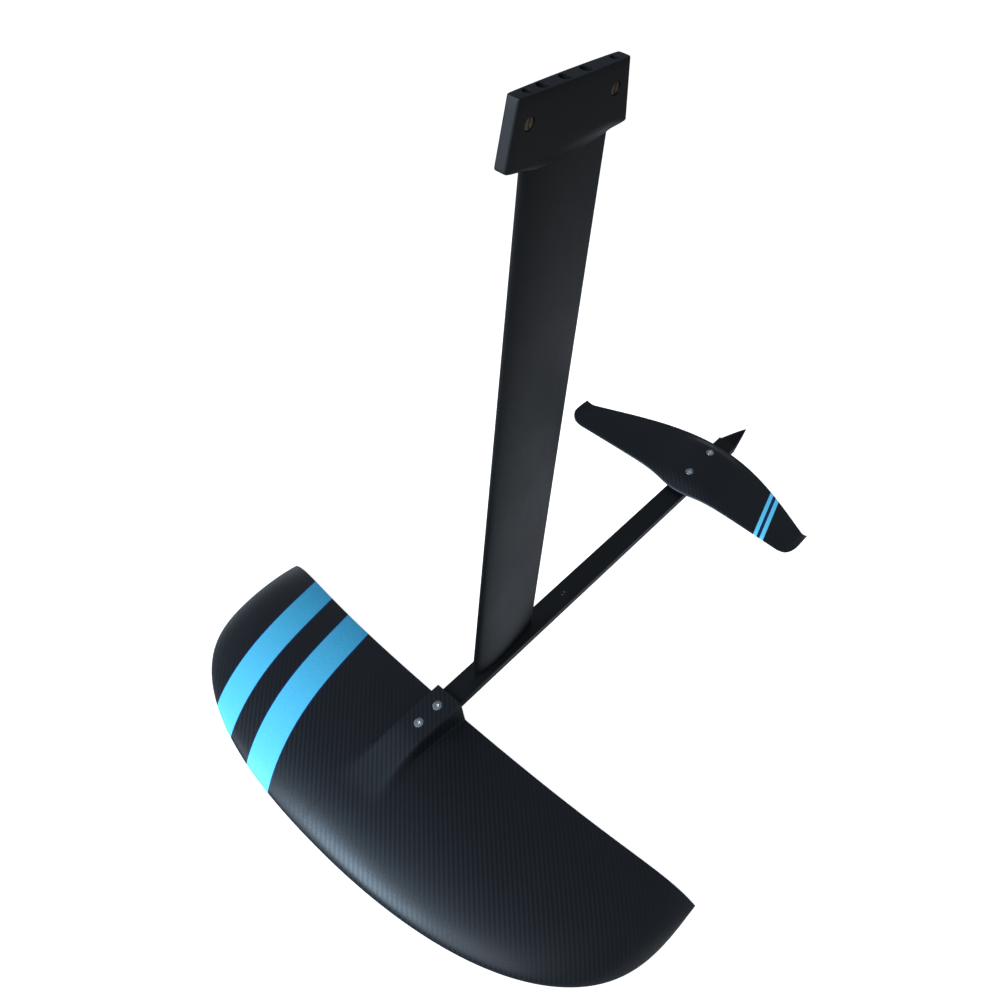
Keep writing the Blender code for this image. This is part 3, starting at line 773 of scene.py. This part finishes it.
def make_countersunk_screw(name, node, matrix, length):
    rim = COUNTERSUNK_RADIUS
    cone_end = -COUNTERSUNK_RIM - (rim - SCREW_RADIUS)
    profile = [(0.0, 0.0), (rim - 0.45, 0.0), (rim - 0.15, -0.08), (rim, -0.28), (rim, -COUNTERSUNK_RIM)]
    profile += threaded_shank(cone_end, -length)
    screw = to_object(name, lathe(profile, matrix), STEEL_LOOK)
    socket_depth = 2.6
    carve(screw, hexagon_socket(0.0, -socket_depth, matrix))
    finish_piece(screw, node)


def make_cap_screw(name, node, matrix, length):
    head_radius, head_height = 5.0, 6.0
    profile = [(0.0, head_height), (head_radius - 0.7, head_height), (head_radius - 0.2, head_height - 0.2),
               (head_radius, head_height - 0.7), (head_radius, 0.15), (head_radius - 0.15, 0.0)]
    profile += threaded_shank(0.0, -length)
    screw = to_object(name, lathe(profile, matrix), STEEL_LOOK)
    carve(screw, hexagon_socket(head_height, head_height / 2, matrix))
    finish_piece(screw, node)


def make_insert(name, node, y):
    """Threaded sleeve with outer ridges, set in the fuselage's top."""
    place = Matrix.Translation((0.0, y, 0.0))
    top, bottom = -GAP, -GAP - INSERT_LENGTH
    core = INSERT_RADIUS - INSERT_RIDGE
    profile = [(0.0, top), (core, top)]
    height = top - INSERT_RIDGE
    while height > bottom + THREAD_PITCH:
        profile += [(INSERT_RADIUS, height), (core, height - THREAD_PITCH / 2)]
        height -= THREAD_PITCH
    profile += [(INSERT_RADIUS, bottom + INSERT_RIDGE), (core, bottom), (0.0, bottom)]
    insert = to_object(name, lathe(profile, place, SMALL_SIDES), STEEL_LOOK)
    carve(insert, [rod(SCREW_HOLE_RADIUS, bottom - OVERCUT, top + OVERCUT, place, SMALL_SIDES)])
    finish_piece(insert, node)


# ---------------------------------------------------------------- fuselage
def rounded_bar_ring(y, inset=0.0):
    """Rounded-rectangle section of the fuselage bar in the plane at y."""
    ring = []
    for quarter, (sx, sz) in enumerate(((1, 1), (-1, 1), (-1, -1), (1, -1))):
        corner = FUSELAGE_CORNER if sz > 0 else FUSELAGE_LOWER_CORNER
        for step in range(9):
            angle = math.radians(90.0 * quarter + 11.25 * step)
            x = sx * (FUSELAGE_WIDTH / 2 - corner) + (corner - inset) * math.cos(angle)
            z = sz * (FUSELAGE_DEPTH / 2 - corner) + (corner - inset) * math.sin(angle)
            z -= FUSELAGE_DEPTH / 2
            ring.append(Vector((x, y, z)))
    return ring


def countersunk_hole(length):
    """Profile of the cutter for a countersunk screw whose head lies at height zero."""
    radius = SCREW_HOLE_RADIUS
    rim = COUNTERSUNK_RADIUS + GAP
    cone_end = -COUNTERSUNK_RIM - GAP - (rim - radius)
    flare = 0.3
    return ((0.0, OVERCUT), (rim + flare + OVERCUT, OVERCUT), (rim, -flare), (rim, -COUNTERSUNK_RIM - GAP),
            (radius, cone_end), (radius, -length), (0.0, -length))


def make_fuselage():
    edge = FUSELAGE_END_EDGE
    turns = [math.radians(angle) for angle in range(0, 91, 15)]
    round_end = [(edge * (1.0 - math.sin(turn)), edge * (1.0 - math.cos(turn))) for turn in turns]
    straight = even_steps(FUSELAGE_FRONT + 20.0, FUSELAGE_REAR - 20.0, LONG_STEPS)
    rings = [rounded_bar_ring(FUSELAGE_FRONT + back, inset) for back, inset in reversed(round_end)]
    rings += [rounded_bar_ring(y) for y in straight]
    rings += [rounded_bar_ring(FUSELAGE_REAR - back, inset) for back, inset in round_end]
    bar = to_object("fuselage_bar", loft(rings), FUSELAGE_LOOK)
    cutters = []
    for y in CHANNEL_Y:
        below = Matrix.Translation((0.0, y, -FUSELAGE_DEPTH)) @ UPSIDE_DOWN
        cutters.append(lathe(countersunk_hole(FUSELAGE_DEPTH + OVERCUT), below))
    end_room = 1.4             # below an insert, for the end of its screw
    for y in (*WING_SCREW_Y, *STAB_SCREW_Y):
        place = Matrix.Translation((0.0, y, 0.0))
        floor = -INSERT_LENGTH - 2.0 * GAP - end_room
        cutters.append(rod(INSERT_RADIUS + GAP, floor, OVERCUT, place, SMALL_SIDES))
    rim, floor = -PLUG_RIM, -PLUG_HOLE_DEPTH - GAP
    plug_hole = ((0.0, OVERCUT), (PLUG_RADIUS + OVERCUT, OVERCUT), (PLUG_RADIUS + 0.35, rim),
                 (PLUG_RADIUS + GAP, rim), (PLUG_RADIUS + GAP, floor), (0.0, floor))
    cutters.append(lathe(plug_hole, Matrix.Translation((0.0, PLUG_Y, 0.0)), SMALL_SIDES))
    socket_floor = -TAIL_SPIGOT_LENGTH - 1.0
    cutters.append(rod(TAIL_SPIGOT_RADIUS + GAP, socket_floor, OVERCUT, TAIL_JOINT, SMALL_SIDES))
    below = Matrix.Translation((0.0, TAIL_SCREW_Y, -FUSELAGE_DEPTH))
    cutters.append(rod(TAIL_SCREW_RADIUS + GAP, -OVERCUT, FUSELAGE_DEPTH / 2, below, TINY_SIDES))
    carve(bar, cutters)
    finish_piece(bar, "fuselage")


def make_plug():
    place = Matrix.Translation((0.0, PLUG_Y, -PLUG_RECESS))
    shank = threaded_shank(-0.5, -5.8)[1:]
    profile = [(0.0, 0.0), (PLUG_RADIUS - PLUG_RIM, 0.0), (PLUG_RADIUS, -PLUG_RIM)] + shank
    plug = to_object("fuselage_plug", lathe(profile, place, SMALL_SIDES), DARK_STEEL_LOOK)
    socket_depth, socket_half = 2.5, 1.5
    carve(plug, hexagon_socket(0.0, -socket_depth, place, socket_half))
    finish_piece(plug, "fuselage_plug_screw")


def tail_ring(t):
    """Section of the tail cap at fraction t of its length, flat below with rounded corners."""
    start = FUSELAGE_REAR + GAP
    y = start + (TAIL_TIP_Y - start) * t
    size = math.sqrt(max(1.0 - t**1.7, 0.0)) * 0.1 + 0.9 * (1.0 - t)  # almost a straight taper
    side_step, top_and_base_step = 0.4, 0.6
    half_width = (FUSELAGE_WIDTH / 2 - side_step) * size
    height = (FUSELAGE_DEPTH - top_and_base_step) * (0.92 * size + 0.08 * (1.0 - t**4))
    base = -FUSELAGE_DEPTH + top_and_base_step / 2
    corner = FUSELAGE_LOWER_CORNER * size
    port = []
    for angle in (math.radians(a) for a in range(-90, 0, 15)):
        port.append((half_width - corner * (1.0 - math.cos(angle)), base + corner * (1.0 + math.sin(angle))))
    for angle in (math.radians(90.0 * step / TAIL_STEPS) for step in range(TAIL_STEPS)):
        rise = (height - corner) * math.sin(angle) ** TAIL_SQUARENESS
        port.append((half_width * math.cos(angle) ** TAIL_SQUARENESS, base + corner + rise))
    outline = port + [(0.0, base + height)] + [(-x, z) for x, z in reversed(port)]
    return [Vector((x, y, z)) for x, z in outline]


def make_tail_cap():
    shares = even_steps(0.0, 0.9, 18) + [0.93, 0.96, 0.98, 0.99, 0.995]
    cap = to_object("tail_cone", loft([tail_ring(t) for t in shares]), CAP_LOOK)
    spigot = rod(TAIL_SPIGOT_RADIUS, -TAIL_SPIGOT_LENGTH, 4.0, TAIL_JOINT, SMALL_SIDES)
    carve(cap, [spigot], "UNION")
    finish_piece(cap, "fuselage_tail_cap")


def make_tail_screw():
    recess, chamfer = 0.3, 0.3
    place = Matrix.Translation((0.0, TAIL_SCREW_Y, -FUSELAGE_DEPTH + recess)) @ UPSIDE_DOWN
    radius, end = TAIL_SCREW_RADIUS, -TAIL_SCREW_LENGTH
    profile = [(0.0, 0.0), (radius - chamfer, 0.0), (radius, -chamfer),
               (radius, -2.9), (radius - 0.2, end), (0.0, end)]
    screw = to_object("tail_grub", lathe(profile, place, TINY_SIDES), STEEL_LOOK)
    socket_depth, socket_half = 1.6, 1.0
    carve(screw, hexagon_socket(0.0, -socket_depth, place, socket_half))
    finish_piece(screw, "tail_cap_grub_screw")


# ---------------------------------------------------------------- front wing
def wing_height(s):
    """Droop of the wing: a gentle arch with a short, steep curl at the tip."""
    return WING_ROOT_Z - WING_DROOP * s**2 - WING_TIP_CURL * s**WING_CURL_POWER


def wing_nose(s):
    """(y, z) of the leading edge at fraction s of the half span."""
    inner_power, outer_power = WING_NOSE_FULLNESS
    y = WING_NOSE_TIP_Y - WING_NOSE_SWEEP * max(1.0 - s**inner_power, 0.0) ** (1.0 / outer_power)
    return y, wing_height(s) - WING_ROOT_PITCH * (1.0 - s**2)


def wing_tail(s):
    """(y, z) of the trailing edge at fraction s of the half span."""
    return WING_TAIL_ROOT_Y + WING_TAIL_SWEEP[0] * s**2 + WING_TAIL_SWEEP[1] * s**4, wing_height(s)


def wing_ring(x):
    """Section of the wing in the plane at x, with the pod raised on its upper side."""
    s = abs(x) / WING_HALF_SPAN
    pod = 1.0 - smoothstep(abs(x), POD_FULL_HALF, POD_FOOT_HALF)
    tail_y, tail_z = wing_tail(s)

    def upper(u, y, z):
        y += pod * u * (POD_REAR - tail_y)
        rise = smoothstep(y, POD_FRONT, POD_FLAT_FRONT)
        foot = POD_FRONT_FOOT_HALF + (POD_FOOT_HALF - POD_FRONT_FOOT_HALF) * rise
        share = 1.0 - smoothstep(abs(x), POD_FULL_HALF, foot)
        return y, z + max(POD_TOP - z, 0.0) * share * rise

    ratio = WING_THICKNESS - WING_TAPER * s
    tail = (tail_y, tail_z)
    ring = section_ring(x, wing_nose(s), tail, ratio, WING_CAMBER, WING_STEPS, upper)
    return [Vector((point.x, point.y, max(point.z, WING_LOWEST))) for point in ring]


def make_front_wing():
    inner = even_steps(0.0, POD_FULL_HALF, 4) + even_steps(POD_FULL_HALF, POD_FOOT_HALF, 9)[1:]
    inner += even_steps(POD_FOOT_HALF, POD_FRONT_FOOT_HALF, 8)[1:]
    stations = span_stations(inner, WING_HALF_SPAN, WING_STATIONS)
    wing = to_object("front_wing_shell", loft([wing_ring(x) for x in stations]), WING_LOOK)
    half = FUSELAGE_WIDTH / 2 + GAP
    front, back = FUSELAGE_FRONT - GAP, POD_REAR + 30.0
    socket = [(-half, front), (half, front), (half, back), (-half, back)]
    cutters = [prism(socket, -FUSELAGE_DEPTH - GAP, GAP)]
    for y in WING_SCREW_Y:
        place = Matrix.Translation((0.0, y, POD_TOP - WING_BOLT_RECESS))
        cutters.append(lathe(countersunk_hole(15.0), place))
    carve(wing, cutters)
    finish_piece(wing, "front_wing")


# ---------------------------------------------------------------- stabiliser
def stab_ring(x):
    """Section of the stabiliser in the plane at x, thickened to a flat boss in the middle."""
    s = abs(x) / STAB_HALF_SPAN
    flick = max((s - STAB_FLICK_START) / STAB_FLICK_SHARE, 0.0)
    height = STAB_ROOT_Z + STAB_RISE * s**2 + STAB_FLICK * flick**2
    corner = max((s - STAB_CORNER_START) / STAB_CORNER_SHARE, 0.0)
    bulge = STAB_NOSE_BULGE * math.exp(-0.5 * (x / STAB_BULGE_WIDTH) ** 2)
    cut_back = STAB_CORNER_DEPTH * (1.0 - math.sqrt(max(1.0 - corner**2, 0.0)))
    nose_y = STAB_NOSE_Y - STAB_NOSE_SWEEP * s**2 - bulge + cut_back
    tail_y = STAB_TAIL_Y - STAB_TAIL_SWEEP[0] * s**2 + STAB_TAIL_SWEEP[1] * s**4
    boss = 1.0 - smoothstep(abs(x), STAB_BOSS_HALF, STAB_BOSS_FOOT)

    def ends(u):
        """Zero at the leading and trailing edges, one between them."""
        return smoothstep(u, 0.0, 0.22) * (1.0 - smoothstep(u, 0.80, 1.0))

    def upper(u, y, z):
        return y, z + (STAB_BOSS_TOP - z) * boss * ends(u)

    def lower(u, y, z):
        return y, max(z + (GAP - z) * boss * ends(u), GAP)

    nose, tail = (nose_y, height), (tail_y, height)
    return section_ring(x, nose, tail, STAB_THICKNESS, 0.0, STAB_STEPS, upper, lower)


def make_stabiliser():
    inner = even_steps(0.0, STAB_BOSS_HALF, 4) + even_steps(STAB_BOSS_HALF, STAB_BOSS_FOOT, 16)[1:]
    stations = span_stations(inner, STAB_HALF_SPAN, STAB_STATIONS)
    stab = to_object("stabiliser_shell", loft([stab_ring(x) for x in stations]), STAB_LOOK)
    cutters = []
    for y in STAB_SCREW_Y:
        place = Matrix.Translation((0.0, y, STAB_BOSS_TOP - WING_BOLT_RECESS))
        cutters.append(lathe(countersunk_hole(25.0), place))
    carve(stab, cutters)
    finish_piece(stab, "stabiliser")


# ---------------------------------------------------------------- the set
make_mast()
make_head()
for end, body, point in zip(("front", "rear"), ("front_nut", "rear_nut"), NUT_POINTS):
    make_barrel_nut("cross_dowel_" + end, "barrel_nut_" + end, body, point)

for end, y in zip(("front", "middle", "rear"), CHANNEL_Y):
    seat = Matrix.Translation((0.0, y, MAST_HEIGHT + POCKET_FLOOR + GAP))
    make_cap_screw("head_bolt_" + end, "head_screw_" + end, seat, HEAD_BOLT_LENGTH)
    underside = Matrix.Translation((0.0, y, -FUSELAGE_DEPTH + MAST_BOLT_RECESS)) @ UPSIDE_DOWN
    make_countersunk_screw("mast_bolt_" + end, "mast_screw_" + end, underside, MAST_BOLT_LENGTH)

make_fuselage()
make_plug()
make_tail_cap()
make_tail_screw()
make_front_wing()
make_stabiliser()

FITTINGS = (
    ("front_wing", WING_SCREW_Y, POD_TOP, WING_BOLT_LENGTH),
    ("stabiliser", STAB_SCREW_Y, STAB_BOSS_TOP, STAB_BOLT_LENGTH),
)
for owner, screw_places, surface, length in FITTINGS:
    for end, y in zip(("front", "rear"), screw_places):
        recessed = Matrix.Translation((0.0, y, surface - WING_BOLT_RECESS))
        make_countersunk_screw(owner + "_bolt_" + end, owner + "_screw_" + end, recessed, length)
        make_insert(owner + "_sleeve_" + end, owner + "_insert_" + end, y)


# ---------------------------------------------------------------- stage, light and camera
FLOOR_LIFT = 0.95              # glow that only the camera sees
FLOOR_WHITE = (0.98, 0.99, 1.0, 1.0)
FLOOR_LIGHT_POOL = (-0.08, 0.65, -0.922)  # centre of the painted pool of light on the floor, in metres
# Painted pool of light: floor colour at its centre and beyond its fade.
FLOOR_POOL_BRIGHT = (0.84, 0.73, 0.68)
FLOOR_BEYOND_POOL = (0.34, 0.31, 0.29)
FLOOR_POOL_FADE = (0.3, 1.0)        # metres from the painted pool's centre
FLOOR_HALF_WIDTH = 30.0        # metres
WORLD_GLOW = 0.2
WORLD_TINT = (0.76, 0.86, 1.0, 1.0)

# name, centre, target, width and height, colour, radiance
PANELS = (
    ("window", (-0.35, -2.25, 1.20), (0.0, -0.3, -0.8), (2.0, 1.4), (0.58, 0.79, 1.0), 15.0),
    ("fill", (1.2, -1.7, 1.0), (0.1, 0.1, -0.6), (1.6, 1.6), (0.82, 0.90, 1.0), 2.5),
    ("low_fill", (-1.5, -2.2, -0.20), (0.0, -0.08, -0.05), (1.8, 1.2), (0.78, 0.88, 1.0), 3.0),
)

CAMERA_LENS = 37.6             # on a sensor 36 mm wide
CAMERA_SHIFT = (0.0470, -0.0729)
CAMERA_PLACE = (0.4622, -0.6536, 0.3778)
CAMERA_TURN = (45.556, -2.112, 43.198)  # degrees


def make_floor():
    """Pale floor with a painted pool of light behind the mast, lifted towards white where the camera sees it
    directly.
    """
    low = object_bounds()[0].z
    bm = bmesh.new()
    bmesh.ops.create_grid(bm, x_segments=1, y_segments=1, size=FLOOR_HALF_WIDTH)
    bmesh.ops.translate(bm, verts=bm.verts, vec=(0.0, 0.0, low - 0.001))
    mesh = bpy.data.meshes.new("floor")
    bm.to_mesh(mesh)
    bm.free()
    floor = bpy.data.objects.new("floor", mesh)
    bpy.context.collection.objects.link(floor)
    paint = Look("floor_paint", Roughness=1.0, Specular_IOR_Level=0.0)
    # Painted pool of light: the floor's colour is palest near the pool's centre behind the mast and duller
    # further out, so the mast mirrors a brighter floor there.
    sockets = {0: paint.position(), 1: FLOOR_LIGHT_POOL}
    away = paint.node("ShaderNodeVectorMath", sockets, operation="DISTANCE").outputs["Value"]
    paint.drive("Base Color", paint.blend(paint.ramp(away, *FLOOR_POOL_FADE), FLOOR_POOL_BRIGHT, FLOOR_BEYOND_POOL))
    seen = paint.node("ShaderNodeLightPath").outputs["Is Camera Ray"]
    lift = paint.math("MULTIPLY", seen, FLOOR_LIFT)
    paint.shader.inputs["Emission Color"].default_value = FLOOR_WHITE
    paint.drive("Emission Strength", lift)
    mesh.materials.append(paint.material)


def make_panel(name, centre, target, size, colour, radiance):
    """Rectangular soft light of even brightness that faces the target point."""
    data = bpy.data.lights.new(name, "AREA")
    data.shape = "RECTANGLE"
    data.size, data.size_y = size
    data.color = colour
    data.energy = radiance * math.pi * size[0] * size[1]
    lamp = bpy.data.objects.new(name, data)
    lamp.location = centre
    lamp.rotation_mode = "QUATERNION"
    lamp.rotation_quaternion = (Vector(centre) - Vector(target)).to_track_quat("Z", "Y")
    bpy.context.collection.objects.link(lamp)


def make_world():
    """White to the camera, and a dimmer even glow to everything else."""
    world = bpy.data.worlds.new("studio")
    world.use_nodes = True
    tree = world.node_tree
    seen = tree.nodes["Background"]
    seen.inputs["Color"].default_value = (1.0, 1.0, 1.0, 1.0)
    glow = tree.nodes.new("ShaderNodeBackground")
    glow.inputs["Color"].default_value = WORLD_TINT
    glow.inputs["Strength"].default_value = WORLD_GLOW
    path = tree.nodes.new("ShaderNodeLightPath")
    mix = tree.nodes.new("ShaderNodeMixShader")
    tree.links.new(path.outputs["Is Camera Ray"], mix.inputs[0])
    tree.links.new(glow.outputs[0], mix.inputs[1])
    tree.links.new(seen.outputs[0], mix.inputs[2])
    tree.links.new(mix.outputs[0], tree.nodes["World Output"].inputs["Surface"])
    bpy.context.scene.world = world


def make_camera():
    """Camera fitted to the photograph's view."""
    data = bpy.data.cameras.new("camera")
    data.sensor_width = 36.0
    data.lens = CAMERA_LENS
    data.shift_x, data.shift_y = CAMERA_SHIFT
    data.clip_start = 0.05
    data.clip_end = 200.0
    camera = bpy.data.objects.new("camera", data)
    camera.location = CAMERA_PLACE
    camera.rotation_euler = [math.radians(angle) for angle in CAMERA_TURN]
    bpy.context.collection.objects.link(camera)
    bpy.context.scene.camera = camera


make_floor()
for panel in PANELS:
    make_panel(*panel)
make_world()
make_camera()
bpy.context.scene.view_settings.view_transform = "Standard"
